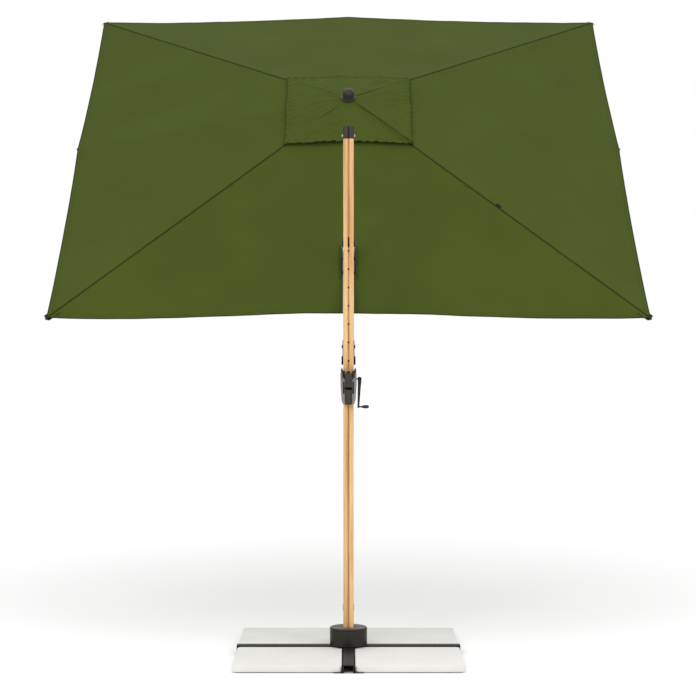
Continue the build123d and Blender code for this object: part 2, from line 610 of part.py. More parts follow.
cross_bars()
base_centre()
slabs()
mast()
mast_foot()
base_cover()
mast_cap()
foot_lock()
carriage()
latch()
crank()
strut()
boom()
head_bracket()
upper_hub()
finial()
for rib_name in rib_azimuths():
    rib(rib_name)
    stay(rib_name)
runner()
for gore_name, gore_azimuth in MIDDLE_AZIMUTHS.items():
    middle_gore(gore_name, gore_azimuth)
far_gore("far_right", 1)
far_gore("far_left", -1)
near_gore("near_right", 1)
near_gore("near_left", -1)
vent_cap()
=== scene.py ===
"""Looks of a cantilever patio umbrella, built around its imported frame."""

import json
import math

import bmesh
import bpy
from mathutils import Matrix, Vector, noise


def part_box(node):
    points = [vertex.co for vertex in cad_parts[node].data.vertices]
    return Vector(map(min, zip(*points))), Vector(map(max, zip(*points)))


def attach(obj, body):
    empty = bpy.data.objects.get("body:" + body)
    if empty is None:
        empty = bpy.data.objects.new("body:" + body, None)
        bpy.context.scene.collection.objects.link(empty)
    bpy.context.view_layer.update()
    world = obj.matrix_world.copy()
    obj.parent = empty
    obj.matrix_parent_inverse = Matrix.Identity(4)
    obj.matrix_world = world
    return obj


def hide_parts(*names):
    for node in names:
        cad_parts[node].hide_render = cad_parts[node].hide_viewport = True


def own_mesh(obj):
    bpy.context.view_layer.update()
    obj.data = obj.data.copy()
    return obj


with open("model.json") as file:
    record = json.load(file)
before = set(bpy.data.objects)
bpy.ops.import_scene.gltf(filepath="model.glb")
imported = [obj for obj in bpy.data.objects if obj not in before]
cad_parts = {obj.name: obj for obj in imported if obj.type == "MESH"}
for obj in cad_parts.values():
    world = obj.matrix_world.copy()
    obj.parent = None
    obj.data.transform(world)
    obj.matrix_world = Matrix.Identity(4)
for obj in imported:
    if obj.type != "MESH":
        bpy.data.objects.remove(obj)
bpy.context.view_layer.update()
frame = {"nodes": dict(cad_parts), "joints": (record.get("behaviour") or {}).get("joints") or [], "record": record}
record = frame["record"]
joints = {joint["name"]: joint for joint in frame["joints"]}
body_of = {node: body for body, nodes in record["behaviour"]["bodies"].items() for node in nodes}
slot_of = {part["node"]: part["material_slot"] for part in record["subparts"]}

MM = 0.001

# ---------------------------------------------------------------- dimensions in metres, in the canopy's own frame

CANOPY_HALF = 1.5
CORNER_DROP = 0.357
MIDDLE_DROP = 0.318
HUB_PIVOT_Z = -0.022
NEAR_HEM_RISE = 0.0265
RIB_HEM_RISE = 0.006
VENT_HOLE_HALF = 0.23
VENT_CAP_HALF = 0.345
VENT_CAP_APEX = 0.006
VENT_CAP_FALL = -0.068
VENT_CAP_CORNER_LEAN = -0.012
# How deep the cap's crease is towards each corner, by whether the corner has positive x and y
CREASES = {(True, False): 1.0, (True, True): 0.95, (False, False): 0.6, (False, True): 0.25}
CENTRE_PATCH = 0.062
CLOTH_THICK = 1.1 * MM
PANEL_SAG = 0.012
NEAR_SAG = 0.020
HEM_WIDTH = 0.022
HIP_SECTION = [(-0.0042, 0.0010), (-0.0035, 0.0022), (0.0035, 0.0022), (0.0042, 0.0010)]  # (across, up)
SLOT_NEAR, SLOT_FAR, SLOT_HALF = 1.045, 1.245, 0.040
SLIT_HALF = 0.027
GORE_EDGE = math.tan(math.radians(22.5))  # a gore ends halfway between two ribs
RIB_AZIMUTHS = {
    "near_right": -45, "far_right": 45, "far_left": 135, "near_left": -135, "right": 0, "far": 90, "left": 180,
}
# Which quarter sides of the canopy a gore covers, as (side's azimuth, first share, last share of the half side)
GORE_SIDES = {
    "right": [(0, -GORE_EDGE, GORE_EDGE)],
    "far": [(90, -GORE_EDGE, GORE_EDGE)],
    "left": [(180, -GORE_EDGE, GORE_EDGE)],
    "far_right": [(0, GORE_EDGE, 1.0), (90, -1.0, -GORE_EDGE)],
    "far_left": [(90, GORE_EDGE, 1.0), (180, -1.0, -GORE_EDGE)],
    "near_right": [(-90, 0.0, 1.0), (0, -1.0, -GORE_EDGE)],
    "near_left": [(180, GORE_EDGE, 1.0), (-90, -1.0, 0.0)],
}

# ---------------------------------------------------------------- dimensions in metres, in the row frame

LOBE_X, LOBE_Y = 0.0125, 0.0235  # middle of one of the mast's four round lobes
LOBE_INSIDE_R = 0.0114
MAST_SIDE_INSIDE = 0.024
MAST_INSIDE_R = 0.0345
GROOVE_HALF = 0.0048
GROOVE_FROM, GROOVE_TO = 0.0262, 0.0345
SLEEVE_FRONT_TOP = 1.339
SLEEVE_FRONT_Y = -0.036
LOUVRE_X = (0.0188, 0.0262)
LOUVRE_Z = (1.246, 1.303)
LOUVRE_DEPTH = 0.009


def head_matrix():
    """The canopy's own frame: local Z along its axis outwards, local X across, origin at the apex."""
    outwards = -Vector(joints["canopy_fold"]["axis"])
    across = Vector((1, 0, 0))
    uphill = outwards.cross(across)
    left = Vector(joints["rib_left_hinge"]["pos_m"])
    right = Vector(joints["rib_right_hinge"]["pos_m"])
    apex = (left + right) / 2 - outwards * HUB_PIVOT_Z
    turn = Matrix((across, uphill, outwards)).transposed().to_4x4()
    return Matrix.Translation(apex) @ turn


HEAD = head_matrix()

# ---------------------------------------------------------------- small helpers


def linear(hex_colour):
    """An sRGB hex colour as linear RGBA."""
    values = [int(hex_colour[i:i + 2], 16) / 255 for i in (1, 3, 5)]
    return [v / 12.92 if v <= 0.04045 else ((v + 0.055) / 1.055) ** 2.4 for v in values] + [1.0]


def deselect():
    bpy.ops.object.select_all(action="DESELECT")


def activate(obj):
    deselect()
    obj.select_set(True)
    bpy.context.view_layer.objects.active = obj


def apply_modifiers(obj):
    activate(obj)
    for modifier in list(obj.modifiers):
        bpy.ops.object.modifier_apply(modifier=modifier.name)


def settle(obj):
    """Put the object's place into its mesh, so that the object sits at the origin."""
    activate(obj)
    bpy.ops.object.transform_apply(location=True, rotation=True, scale=True)


def smooth(obj, degrees=35):
    activate(obj)
    bpy.ops.object.shade_smooth_by_angle(angle=math.radians(degrees))


def mesh_object(name, bm):
    mesh = bpy.data.meshes.new(name)
    bm.to_mesh(mesh)
    bm.free()
    obj = bpy.data.objects.new(name, mesh)
    bpy.context.scene.collection.objects.link(obj)
    return obj


def edit(obj):
    activate(obj)
    bpy.ops.object.mode_set(mode="EDIT")
    bpy.ops.mesh.select_all(action="DESELECT")


def leave_edit():
    bpy.ops.object.mode_set(mode="OBJECT")


def pick(obj, kind, wanted):
    """In edit mode, select the faces or edges that pass a test, and nothing else."""
    bpy.ops.mesh.select_mode(type=kind)
    bpy.ops.mesh.select_all(action="DESELECT")
    bm = bmesh.from_edit_mesh(obj.data)
    for item in (bm.faces if kind == "FACE" else bm.edges):
        if wanted(item):
            item.select_set(True)
    bmesh.update_edit_mesh(obj.data)


def score(obj, wanted, place, normal):
    """Cut the picked faces along a plane."""
    pick(obj, "FACE", wanted)
    bpy.ops.mesh.bisect(plane_co=place, plane_no=normal)


def paint(obj, material, wanted):
    """Give the picked faces a second material."""
    if material.name not in obj.data.materials:
        obj.data.materials.append(material)
    obj.active_material_index = obj.data.materials.find(material.name)
    pick(obj, "FACE", wanted)
    bpy.ops.object.material_slot_assign()


def sink(x=0.0, y=0.0, z=0.0):
    """Push the picked faces in or out, with new side walls."""
    bpy.ops.mesh.extrude_region_move(TRANSFORM_OT_translate={"value": (x, y, z)})


def middle(item):
    """Middle of a face or an edge."""
    if hasattr(item, "calc_center_median"):
        return item.calc_center_median()
    return (item.verts[0].co + item.verts[1].co) / 2


def turned(name, profile, centre, axis, steps=48):
    """A piece turned on a lathe: profile gives (radius, distance along the axis), from one end to the other."""
    axis = Vector(axis)
    side = axis.orthogonal().normalized()
    bm = bmesh.new()
    verts = [bm.verts.new(Vector(centre) + side * radius + axis * along) for radius, along in profile]
    for first, second in zip(verts, verts[1:]):
        bm.edges.new((first, second))
    obj = mesh_object(name, bm)
    edit(obj)
    bpy.ops.mesh.select_all(action="SELECT")
    bpy.ops.mesh.spin(steps=steps, angle=2 * math.pi, center=centre, axis=axis)
    bpy.ops.mesh.select_all(action="SELECT")
    bpy.ops.mesh.remove_doubles(threshold=1e-5)
    bpy.ops.mesh.normals_make_consistent(inside=False)
    leave_edit()
    return obj


def bevel_edges(obj, width, segments=3, degrees=30):
    bevel = obj.modifiers.new("edges", "BEVEL")
    bevel.width = width
    bevel.segments = segments
    bevel.limit_method = "ANGLE"
    bevel.angle_limit = math.radians(degrees)
    apply_modifiers(obj)


def finish_piece(obj, material, body, slot, *stands_for):
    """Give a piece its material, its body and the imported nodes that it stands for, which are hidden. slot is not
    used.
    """
    obj.data.materials.clear()
    obj.data.materials.append(material)
    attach(obj, body)
    if stands_for:
        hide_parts(*stands_for)
    return obj


# ---------------------------------------------------------------- materials


def add(tree, kind, inputs=None, **settings):
    """Add one node, set its properties, and fill its inputs with values or with other nodes' outputs."""
    item = tree.nodes.new(kind)
    for name, value in settings.items():
        setattr(item, name, value)
    for name, value in (inputs or {}).items():
        if isinstance(value, bpy.types.NodeSocket):
            tree.links.new(value, item.inputs[name])
        else:
            item.inputs[name].default_value = value
    return item


def new_material(name):
    material = bpy.data.materials.new(name)
    material.use_nodes = True
    tree = material.node_tree
    return material, tree, tree.nodes["Principled BSDF"]


def blend_colours(tree, share, low, high):
    """A colour between two hex colours, by a share from 0 to 1."""
    ramp = add(tree, "ShaderNodeValToRGB", {"Fac": share})
    ramp.color_ramp.elements[0].color = linear(low)
    ramp.color_ramp.elements[1].color = linear(high)
    return ramp.outputs["Color"]


def moulded(name, low, high, roughness, grain_mm, depth_mm, coat=0.0, metallic=0.0, specular=0.35):
    """A hard finish: slow colour change, fine surface grain in the bump and a little change in its roughness."""
    material, tree, shader = new_material(name)
    place = add(tree, "ShaderNodeTexCoord").outputs["Object"]
    cloud = add(tree, "ShaderNodeTexNoise", {"Vector": place, "Scale": 9.0, "Detail": 4.0})
    tree.links.new(blend_colours(tree, cloud.outputs["Fac"], low, high), shader.inputs["Base Color"])
    grain = add(tree, "ShaderNodeTexNoise", {"Vector": place, "Scale": 1 / (grain_mm * MM), "Detail": 3.0})
    spread = add(tree, "ShaderNodeMapRange", {"Value": grain.outputs["Fac"], "To Min": roughness - 0.06,
                                              "To Max": roughness + 0.06})
    tree.links.new(spread.outputs["Result"], shader.inputs["Roughness"])
    bump = add(tree, "ShaderNodeBump", {"Height": grain.outputs["Fac"], "Strength": 0.5,
                                        "Distance": depth_mm * MM})
    tree.links.new(bump.outputs["Normal"], shader.inputs["Normal"])
    shader.inputs["Metallic"].default_value = metallic
    shader.inputs["Coat Weight"].default_value = coat
    shader.inputs["Specular IOR Level"].default_value = 0.5 if metallic else specular
    return material


def woven_polyester(name, low, high, thread_mm=2.4):
    """Plain-woven polyester: matt with a faint sheen. Its threads are coarser than life so that they show."""
    material, tree, shader = new_material(name)
    cut = add(tree, "ShaderNodeTexCoord").outputs["UV"]
    period = 2 * math.pi / 20  # length of one wave at scale 1
    waves = []
    for direction in ("X", "Y"):
        wave = add(tree, "ShaderNodeTexWave", {"Vector": cut, "Scale": period / (thread_mm * MM),
                                               "Distortion": 0.6, "Detail": 1.0}, bands_direction=direction)
        waves.append(wave.outputs["Fac"])
    weave = add(tree, "ShaderNodeMath", {0: waves[0], 1: waves[1]}, operation="MAXIMUM").outputs["Value"]
    cloud = add(tree, "ShaderNodeTexNoise", {"Vector": cut, "Scale": 2.2, "Detail": 5.0}).outputs["Fac"]
    slub = add(tree, "ShaderNodeTexNoise", {"Vector": cut, "Scale": 160.0, "Detail": 2.0}).outputs["Fac"]
    shade = add(tree, "ShaderNodeMath", {0: cloud, 1: slub}, operation="MULTIPLY")
    share = add(tree, "ShaderNodeMapRange", {"Value": shade.outputs["Value"], "From Min": 0.12, "From Max": 0.42})
    tree.links.new(blend_colours(tree, share.outputs["Result"], low, high), shader.inputs["Base Color"])
    bump = add(tree, "ShaderNodeBump", {"Height": weave, "Strength": 0.25, "Distance": 0.3 * MM})
    tree.links.new(bump.outputs["Normal"], shader.inputs["Normal"])
    shader.inputs["Roughness"].default_value = 0.92
    shader.inputs["Specular IOR Level"].default_value = 0.1
    shader.inputs["Sheen Weight"].default_value = 0.015
    shader.inputs["Sheen Roughness"].default_value = 0.5
    return material


def wood_grain_film(name, shade=1.0):
    """Aluminium wrapped in a printed film: straight pale grain along the mast, with a satin surface."""
    material, tree, shader = new_material(name)
    place = add(tree, "ShaderNodeTexCoord").outputs["Object"]
    long_way = add(tree, "ShaderNodeMapping", {"Vector": place, "Scale": (1.0, 1.0, 0.035)}).outputs["Vector"]
    bands = add(tree, "ShaderNodeTexNoise", {"Vector": long_way, "Scale": 70.0, "Detail": 6.0, "Distortion": 0.35})
    fine = add(tree, "ShaderNodeTexNoise", {"Vector": long_way, "Scale": 420.0, "Detail": 3.0})
    ramp = add(tree, "ShaderNodeValToRGB", {"Fac": bands.outputs["Fac"]})
    ramp.color_ramp.elements[0].position = 0.28
    ramp.color_ramp.elements[0].color = linear("#C98F4F")
    ramp.color_ramp.elements[1].position = 0.72
    ramp.color_ramp.elements[1].color = linear("#F0C892")
    middle = ramp.color_ramp.elements.new(0.47)
    middle.color = linear("#E2B177")
    streaks = add(tree, "ShaderNodeMapRange", {"Value": fine.outputs["Fac"], "From Min": 0.3, "From Max": 0.7,
                                               "To Min": 0.86 * shade, "To Max": 1.06 * shade})
    tint = add(tree, "ShaderNodeVectorMath", {0: ramp.outputs["Color"], "Scale": streaks.outputs["Result"]},
               operation="SCALE")
    tree.links.new(tint.outputs["Vector"], shader.inputs["Base Color"])
    bump = add(tree, "ShaderNodeBump", {"Height": fine.outputs["Fac"], "Strength": 0.3, "Distance": 0.15 * MM})
    tree.links.new(bump.outputs["Normal"], shader.inputs["Normal"])
    shader.inputs["Roughness"].default_value = 0.42
    return material


def cast_concrete(name):
    """Pale cast concrete paving: fine sand grain, open pores and faint clouds."""
    material, tree, shader = new_material(name)
    place = add(tree, "ShaderNodeTexCoord").outputs["Object"]
    cloud = add(tree, "ShaderNodeTexNoise", {"Vector": place, "Scale": 5.0, "Detail": 6.0}).outputs["Fac"]
    sand = add(tree, "ShaderNodeTexNoise", {"Vector": place, "Scale": 600.0, "Detail": 3.0}).outputs["Fac"]
    pores = add(tree, "ShaderNodeTexVoronoi", {"Vector": place, "Scale": 110.0}).outputs["Distance"]
    pits = add(tree, "ShaderNodeMapRange", {"Value": pores, "From Min": 0.05, "From Max": 0.22}).outputs["Result"]
    base = blend_colours(tree, cloud, "#D8D7D3", "#EAE9E5")
    speck = add(tree, "ShaderNodeMapRange", {"Value": sand, "From Min": 0.3, "From Max": 0.7, "To Min": 0.93,
                                             "To Max": 1.03}).outputs["Result"]
    shade = add(tree, "ShaderNodeMath", {0: pits, 1: 0.12}, operation="MULTIPLY").outputs["Value"]
    lift = add(tree, "ShaderNodeMath", {0: shade, 1: 0.88}, operation="ADD").outputs["Value"]
    share = add(tree, "ShaderNodeMath", {0: lift, 1: speck}, operation="MULTIPLY").outputs["Value"]
    tint = add(tree, "ShaderNodeVectorMath", {0: base, "Scale": share}, operation="SCALE")
    tree.links.new(tint.outputs["Vector"], shader.inputs["Base Color"])
    rough = add(tree, "ShaderNodeMath", {0: sand, 1: pits}, operation="ADD").outputs["Value"]
    bump = add(tree, "ShaderNodeBump", {"Height": rough, "Strength": 0.5, "Distance": 0.8 * MM})
    tree.links.new(bump.outputs["Normal"], shader.inputs["Normal"])
    shader.inputs["Roughness"].default_value = 0.85
    return material


FINISHES = {
    "steel_black": moulded("powder_coated_steel", "#0E0E10", "#161618", 0.5, 1.4, 0.12),
    "steel_zinc": moulded("zinc_plated_steel", "#A6A49E", "#C2C0BA", 0.34, 0.8, 0.04, metallic=1.0),
    "concrete": cast_concrete("cast_concrete"),
    "wood_look_aluminium": wood_grain_film("wood_grain_film"),
    "taupe_plastic": moulded("moulded_taupe_polyamide", "#2D2823", "#38322C", 0.42, 1.0, 0.08),
    "cover_plastic": moulded("moulded_cover_polypropylene", "#221F1A", "#2C2822", 0.44, 1.1, 0.08, specular=0.3),
    "grey_gloss_plastic": moulded("glossy_grey_abs", "#6E6B67", "#7C7975", 0.18, 0.9, 0.01, coat=0.7,
                                  specular=0.5),
    "white_plastic": moulded("natural_nylon", "#CFCDC5", "#DEDCD4", 0.45, 1.0, 0.05),
    "black_plastic": moulded("moulded_black_polyamide", "#0C0D0B", "#141512", 0.3, 1.0, 0.05, coat=0.3),
    "aluminium_dark": moulded("bronze_powder_coat", "#1E1A16", "#28231E", 0.46, 1.2, 0.08),
    "canopy_fabric": woven_polyester("woven_olive_polyester", "#424E19", "#49561D"),
}
# Painted shade: the wood film darkened to 0.78, for the shade in the mast's grooves.
GROOVE_PAINTED_SHADE = wood_grain_film("wood_grain_film_groove_painted_shade", 0.78)
# Painted shade: near black for the unlit inside of the mast, its holes and the louvres.
PAINTED_SHADE_IN_HOLLOWS = moulded("unlit_tube_inside", "#0B0A08", "#12100D", 0.8, 1.0, 0.02)
# Painted light: the cover's plastic made lighter, for the lid's top lit from above.
COVER_TOP_PAINTED_LIGHT = moulded("cover_top_painted_light_polypropylene", "#4E4A43", "#5A564E", 0.4, 1.1, 0.08, specular=0.4)
BLACK_ZINC = moulded("black_zinc_screw", "#141414", "#1C1C1B", 0.35, 0.8, 0.03, metallic=0.6)
SEAM_TAPE = woven_polyester("olive_seam_tape", "#3C4719", "#454F1C", 1.2)
# Painted shade in part: binding tape and felled seams, much darker than the cloth, for the shade along the hems
# and beside the hips.
TAPE_WITH_PAINTED_SHADE = woven_polyester("olive_tape_painted_shade", "#262E10", "#2E3714", 1.2)
# Painted shade in part: a real facing, darker than the cloth, for the soft shade round the strut's bracket.
FACING_PAINTED_SHADE = woven_polyester("olive_facing_painted_shade", "#384217", "#3F4A1A", 2.0)
# Near-black cloth: the label tab and rib ties in their own dark colour, and the slot flaps as painted shade where
# the opening is dark.
DARK_CLOTH_AND_PAINTED_SHADE = woven_polyester("dark_cloth_and_painted_shade", "#1C1A14", "#272319", 1.2)
THREAD = moulded("olive_polyester_thread", "#2F3815", "#3A441A", 0.7, 0.6, 0.02)

# ---------------------------------------------------------------- carried-over nodes, with softened edges


def merged_copy(node):
    """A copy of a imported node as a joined-up mesh, ready for more work."""
    obj = bpy.data.objects.new(node + "_finished", frame["nodes"][node].data.copy())
    bpy.context.scene.collection.objects.link(obj)
    edit(obj)
    bpy.ops.mesh.select_all(action="SELECT")
    bpy.ops.mesh.remove_doubles(threshold=1e-5)
    bpy.ops.mesh.dissolve_limited(angle_limit=math.radians(1.0))
    leave_edit()
    obj.data.materials.clear()
    obj.data.materials.append(FINISHES[slot_of[node]])
    return obj


def softened(node, edge_mm):
    """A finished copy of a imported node, with its edges rounded."""
    obj = merged_copy(node)
    if edge_mm:
        bevel_edges(obj, edge_mm * MM, 2, 32)
    return take_place(obj, node)


def take_place(obj, node):
    """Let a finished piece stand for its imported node."""
    smooth(obj, 30)
    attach(obj, body_of[node])
    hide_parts(node)
    return obj


SOFT_EDGES = {
    "paving_slabs": 2.5, "mast_cap": 1.2, "hinge_block": 1.5, "strut_fork": 1.2, "strut_saddle": 1.2,
    "boom_root": 1.5, "head_bracket": 1.5, "strut_bolt": 0.0, "foot_pedal": 1.5, "pedal_bracket": 1.0,
    "boom_tube": 0.0, "strut_tube": 0.0, "cross_bar_long": 1.2, "cross_bars_side": 1.2, "upper_hub": 1.0,
    "lower_hub": 1.0, "mast_foot": 1.5,
}


# ---------------------------------------------------------------- mast, base and carriage pieces


def make_mast():
    """The mast, with painted shade in its grooves (the wood film darkened there), and painted shade inside and in
    its holes.
    """
    obj = merged_copy("mast_tube")

    def inside(face):
        across, deep = abs(middle(face).x), abs(middle(face).y)
        if deep < LOBE_Y:
            return across < MAST_SIDE_INSIDE
        return math.hypot(across - LOBE_X, deep - LOBE_Y) < LOBE_INSIDE_R

    edit(obj)
    # Painted shade: the tube's inner walls and the walls of its holes in near black.
    paint(obj, PAINTED_SHADE_IN_HOLLOWS, inside)
    paint(obj, PAINTED_SHADE_IN_HOLLOWS, lambda f: abs(f.normal.z) > 0.3 and math.hypot(middle(f).x, middle(f).y) < MAST_INSIDE_R)
    # Painted shade: the groove faces get the darkened film.
    paint(obj, GROOVE_PAINTED_SHADE, lambda f: abs(middle(f).x) < GROOVE_HALF and GROOVE_FROM < abs(middle(f).y) < GROOVE_TO
          and abs(f.normal.z) < 0.3)
    leave_edit()
    take_place(obj, "mast_tube")


def make_base_cover():
    """The drum over the swivel: its lid sits on the wall with a shadow gap, its top carries painted light from
    above, and its foot has a narrow band.
    """
    obj = merged_copy("base_cover")
    low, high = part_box("base_cover")
    radius = high[0]

    def wall(face):
        place = middle(face)
        return math.hypot(place.x, place.y) > radius - 0.003 and abs(face.normal.z) < 0.2

    edit(obj)
    gaps = [(high[2] - 0.0125, high[2] - 0.0105), (low[2] + 0.004, low[2] + 0.0052)]
    for bottom, top in gaps:
        for height in (bottom, top):
            score(obj, wall, (0, 0, height), (0, 0, 1))
        pick(obj, "FACE", lambda f: wall(f) and bottom < middle(f).z < top)
        sink()
        bpy.ops.transform.resize(value=(0.982, 0.982, 1.0), center_override=(0, 0, bottom))
    # Painted light: the up-facing top of the lid in the lighter colour.
    paint(obj, COVER_TOP_PAINTED_LIGHT, lambda f: f.normal.z > 0.9 and middle(f).z > high[2] - 0.002)
    leave_edit()
    bevel_edges(obj, 0.5 * MM, 2, 40)
    take_place(obj, "base_cover")


def make_housing_shell(side):
    """A glossy side shell: rounded outer wall, a louvre with painted shade inside, a slanted bright shoulder and a
    dark ear.
    """
    node = "housing_right" if side > 0 else "housing_left"
    obj = merged_copy(node)
    front_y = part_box(node)[0][1]

    def front(face):
        return face.normal.y < -0.9 and middle(face).y < front_y + 0.001

    edit(obj)
    pick(obj, "EDGE", lambda e: e.verts[0].co.y < front_y + 1e-4 and e.verts[1].co.y < front_y + 1e-4
         and middle(e).x * side > 0.0265 and abs(e.verts[0].co.z - e.verts[1].co.z) > 0.006)
    bpy.ops.mesh.bevel(offset=0.0085, segments=5, affect="EDGES")
    score(obj, front, (side * 0.030, 0, 1.322), (side * -0.62, 0, 0.78))
    pick(obj, "EDGE", lambda e: e.verts[0].co.y < front_y + 1e-4 and e.verts[1].co.y < front_y + 1e-4
         and abs(middle(e).x) < 0.0275 and middle(e).z > 1.335)
    bpy.ops.transform.translate(value=(0, 0.011, 0))
    louvre = sorted(side * x for x in LOUVRE_X)
    low_z, high_z = LOUVRE_Z
    for x in louvre:
        score(obj, front, (x, 0, 0), (1, 0, 0))
    for z in LOUVRE_Z:
        score(obj, front, (0, 0, z), (0, 0, 1))
    pick(obj, "FACE", lambda f: front(f) and louvre[0] < middle(f).x < louvre[1] and low_z < middle(f).z < high_z)
    bpy.ops.mesh.inset(thickness=0.0005, depth=0.0)
    sink(y=LOUVRE_DEPTH)
    leave_edit()
    bevel_edges(obj, 0.5 * MM, 2, 35)
    edit(obj)
    # Painted shade: the louvre's inner walls in near black.
    paint(obj, PAINTED_SHADE_IN_HOLLOWS,
          lambda f: louvre[0] < middle(f).x < louvre[1] and front_y + 0.0006 < middle(f).y < front_y + 0.012
          and low_z - MM < middle(f).z < high_z + MM)
    paint(obj, FINISHES["taupe_plastic"],
          lambda f: middle(f).z > 1.352 or (middle(f).z > 1.330 and f.normal.x * side < -0.3))
    leave_edit()
    take_place(obj, node)


def make_panel_and_lever():
    """The centre panel and the latch lever below it, each with a sunk border."""
    for node, rim in (("housing_panel", 0.0035), ("latch_lever", 0.004)):
        obj = merged_copy(node)
        front_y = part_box(node)[0][1]
        edit(obj)
        pick(obj, "FACE", lambda f: f.normal.y < -0.9 and middle(f).y < front_y + 0.0005)
        bpy.ops.mesh.inset(thickness=rim, depth=0.0)
        bpy.ops.mesh.inset(thickness=0.0012, depth=0.0)
        bpy.ops.transform.translate(value=(0, 0.0008, 0))
        leave_edit()
        bevel_edges(obj, 0.9 * MM, 2, 35)
        take_place(obj, node)


def make_sleeve():
    """The sliding sleeve in dark taupe, its front edge lower than its back so that the panel hides it."""
    obj = merged_copy("slider_sleeve")
    edit(obj)
    pick(obj, "EDGE", lambda e: all(v.co.z > SLEEVE_FRONT_TOP and v.co.y < SLEEVE_FRONT_Y for v in e.verts))
    bpy.ops.transform.resize(value=(1, 1, 0), center_override=(0, 0, SLEEVE_FRONT_TOP))
    paint(obj, FINISHES["taupe_plastic"], lambda f: True)
    leave_edit()
    take_place(obj, "slider_sleeve")


def make_crank():
    """The crank arm with a long sunk channel, its screw with a socket, and its spindle-shaped knob."""
    obj = merged_copy("crank_arm")
    edit(obj)
    for direction in (-1, 1):
        pick(obj, "FACE", lambda f: f.normal.y * direction > 0.9 and f.calc_area() > 6e-4)
        bpy.ops.mesh.inset(thickness=0.0032, depth=0.0)
        bpy.ops.mesh.inset(thickness=0.0008, depth=0.0)
        bpy.ops.transform.translate(value=(0, -0.0022 * direction, 0))
    leave_edit()
    bevel_edges(obj, 0.6 * MM, 2, 30)
    take_place(obj, "crank_arm")

    low, high = (Vector(corner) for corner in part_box("crank_cap"))
    centre = (low + high) / 2
    radius = (high.x - low.x) / 2
    depth = high.y - low.y
    deselect()
    bpy.ops.mesh.primitive_cylinder_add(vertices=48, radius=radius, depth=depth, location=centre,
                                        rotation=(math.radians(90), 0, 0))
    screw = bpy.context.object
    screw.name = "crank_screw"
    settle(screw)
    edit(screw)
    pick(screw, "FACE", lambda f: f.normal.y < -0.9)
    bpy.ops.mesh.inset(thickness=radius * 0.45, depth=0.0)
    sink(y=depth * 0.6)
    leave_edit()
    bevel_edges(screw, 0.7 * MM, 3, 30)
    smooth(screw, 30)
    finish_piece(screw, BLACK_ZINC, body_of["crank_cap"], "steel_zinc", "crank_cap")

    low, high = (Vector(corner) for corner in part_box("crank_knob"))
    radius = (high.z - low.z) / 2
    length = high.x - low.x
    shares = [(0.40, 0.0), (0.44, 0.04), (0.42, 0.16), (0.46, 0.22), (0.66, 0.30), (0.84, 0.42), (0.96, 0.56),
              (1.0, 0.68), (0.97, 0.80), (0.86, 0.90), (0.66, 0.965), (0.36, 0.995), (0.0, 1.0)]
    profile = [(0.0, 0.0)] + [(radius * r, length * a) for r, a in shares]
    knob = turned("crank_grip", profile, (low.x, (low.y + high.y) / 2, (low.z + high.z) / 2), (1, 0, 0), 40)
    smooth(knob, 40)
    finish_piece(knob, FINISHES["black_plastic"], body_of["crank_knob"], "black_plastic", "crank_knob")


# ---------------------------------------------------------------- canopy cloth


def share_sag(share):
    """0 at both ends of a span and 1 at its middle."""
    return 4 * abs(share) * (1 - abs(share))


def side_point(azimuth, reach, share):
    """Plan point at a distance from the apex on one side of the canopy, at a share of the half side."""
    turn = math.radians(azimuth)
    x, y = reach, reach * share
    return x * math.cos(turn) - y * math.sin(turn), x * math.sin(turn) + y * math.cos(turn)


def hem_reach(azimuth, share, half, near_rise, rib_rise):
    """How far out the hem runs: drawn in between the ribs, most on the near side, which has no middle rib."""
    if azimuth == -90:
        return half - near_rise * (1 - share * share)
    return half - rib_rise * share_sag(share)


def canopy_height(azimuth, reach, share):
    """Height of the main cloth over the plan point. The near side has no middle rib, so it sags further out."""
    if azimuth == -90:
        height = -CORNER_DROP / CANOPY_HALF * reach
        sag = NEAR_SAG * 6.75 * share * share * (1 - abs(share))
    else:
        height = -(MIDDLE_DROP + (CORNER_DROP - MIDDLE_DROP) * abs(share)) / CANOPY_HALF * reach
        sag = PANEL_SAG * share_sag(share)
    return height - sag * reach / CANOPY_HALF


def ripple(x, y, scale, strength, seed):
    return strength * noise.noise(Vector((x * scale, y * scale, seed)))


def main_cloth(azimuth, reach, share, hem):
    """Height of the sewn main cloth: its sag, faint slack folds, puckered hips and the thicker hem."""
    x, y = side_point(azimuth, reach, share)
    height = canopy_height(azimuth, reach, share)
    free = min(1.0, share_sag(share) * 2.5)
    height += ripple(x, y, 3.0, 0.004 * free, 3.1) + ripple(x, y, 11.0, 0.0012 * free, 7.7)
    hip = (1 - abs(share)) * reach
    height += 0.0008 * math.exp(-(hip / 0.035) ** 2) * math.sin(reach * 2 * math.pi / 0.06)
    height -= 0.0016 * math.exp(-(hip / 0.011) ** 2)
    if hem - reach < HEM_WIDTH:
        height += 0.0009
    return height


